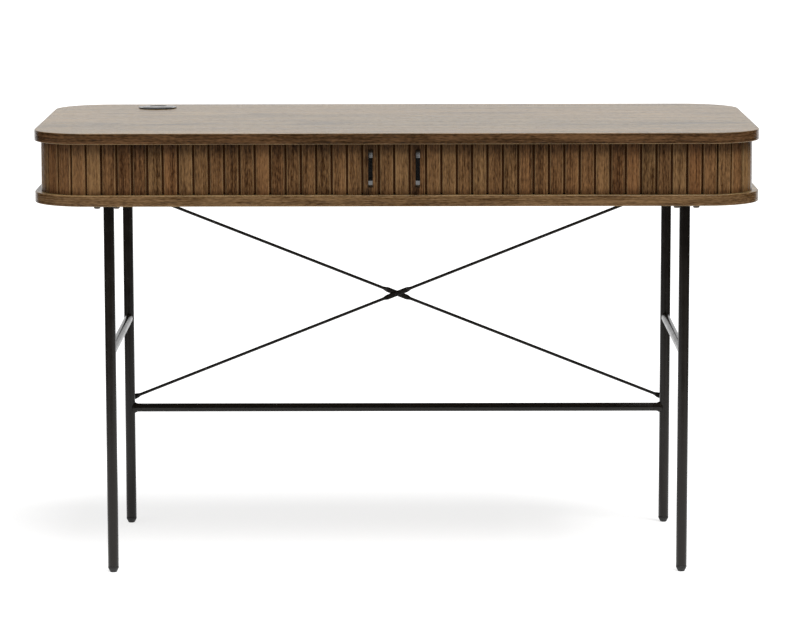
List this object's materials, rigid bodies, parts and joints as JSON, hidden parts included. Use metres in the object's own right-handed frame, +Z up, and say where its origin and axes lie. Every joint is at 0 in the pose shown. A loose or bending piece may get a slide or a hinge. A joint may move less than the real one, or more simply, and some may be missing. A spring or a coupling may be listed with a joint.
{
  "type": "writing desk",
  "caption": "Writing desk with a shallow slatted body, two sliding tambour doors, a cable grommet and a slim braced steel frame.",
  "frame": {"origin": "on the floor, under the middle of the desk's bounding box", "axes": "+X to the sitter's right, +Y away from the sitter, +Z up"},
  "size_m": [1.2, 0.568, 0.7474],
  "materials": {
    "veneer": "open-grained dark oak veneer, matt lacquer",
    "edge_veneer": "dark oak edge strip, matt lacquer",
    "slat_wood": "open-grained dark oak slats, matt lacquer",
    "carcass_board": "stained board, matt",
    "canvas": "dark cotton canvas",
    "dowel_wood": "fluted beech",
    "black_steel": "black powder coat, fine satin texture",
    "black_screws": "black zinc, satin",
    "grey_screws": "zinc plated steel",
    "black_plastic": "black satin plastic",
    "foot_plastic": "black moulded plastic"
  },
  "bodies": {
    "root": {"top_panel": "veneer", "top_edge_band": "edge_veneer", "bottom_panel": "veneer", "bottom_edge_band": "edge_veneer", "back_panel": "veneer", "inner_back": "carcass_board", "center_divider": "carcass_board", "carcass_dowels": "dowel_wood", "grommet_sleeve": "black_plastic", "rear_crossbar": "black_steel", "crossbar_sockets": "black_steel", "crossbar_screws": "black_screws", "left_brace_rod": "black_steel", "right_brace_rod": "black_steel", "brace_bosses": "black_steel", "brace_screws": "black_screws", "brace_center_bolt": "black_screws", "plate_screws": "grey_screws", "left_wall": "carcass_board", "left_corner_board": "carcass_board", "left_corner_slats": "slat_wood", "left_side_slats": "slat_wood", "left_rear_corner_slats": "slat_wood", "left_turn_canvas": "canvas", "left_front_leg": "black_steel", "left_rear_leg": "black_steel", "left_leg_plates": "black_steel", "left_side_rail": "black_steel", "left_feet": "foot_plastic", "right_wall": "carcass_board", "right_corner_board": "carcass_board", "right_corner_slats": "slat_wood", "right_side_slats": "slat_wood", "right_rear_corner_slats": "slat_wood", "right_turn_canvas": "canvas", "right_front_leg": "black_steel", "right_rear_leg": "black_steel", "right_leg_plates": "black_steel", "right_side_rail": "black_steel", "right_feet": "foot_plastic"},
    "left_door": {"left_leading_slats": "slat_wood", "left_handle_slat": "slat_wood", "left_front_slats": "slat_wood", "left_leading_canvas": "canvas", "left_front_canvas": "canvas", "left_handle": "black_steel", "left_handle_screws": "grey_screws"},
    "left_door_tail": {"left_tail_slats": "slat_wood", "left_tail_canvas": "canvas"},
    "right_door": {"right_leading_slats": "slat_wood", "right_handle_slat": "slat_wood", "right_front_slats": "slat_wood", "right_leading_canvas": "canvas", "right_front_canvas": "canvas", "right_handle": "black_steel", "right_handle_screws": "grey_screws"},
    "right_door_tail": {"right_tail_slats": "slat_wood", "right_tail_canvas": "canvas"},
    "lid": {"grommet_lid": "black_plastic"}
  },
  "joints": [
    {"name": "left_door_slide", "type": "slide", "parent": "root", "child": "left_door", "axis": [-1, 0, 0], "range_m": [0, 0.352], "deforming": ["left_front_slats", "left_front_canvas"]},
    {"name": "left_tail_slide", "type": "slide", "parent": "root", "child": "left_door_tail", "axis": [1, 0, 0], "range_m": [0, 0.352]},
    {"name": "right_door_slide", "type": "slide", "parent": "root", "child": "right_door", "axis": [1, 0, 0], "range_m": [0, 0.352], "deforming": ["right_front_slats", "right_front_canvas"]},
    {"name": "right_tail_slide", "type": "slide", "parent": "root", "child": "right_door_tail", "axis": [-1, 0, 0], "range_m": [0, 0.352]},
    {"name": "lid_turn", "type": "hinge", "parent": "root", "child": "lid", "pos_m": [-0.4218, 0.209, 0.746], "axis": [0, 0, 1], "continuous": true}
  ],
  "couplings": [
    {"joint": "left_tail_slide", "follows": "left_door_slide", "ratio": 1},
    {"joint": "right_tail_slide", "follows": "right_door_slide", "ratio": 1}
  ]
}
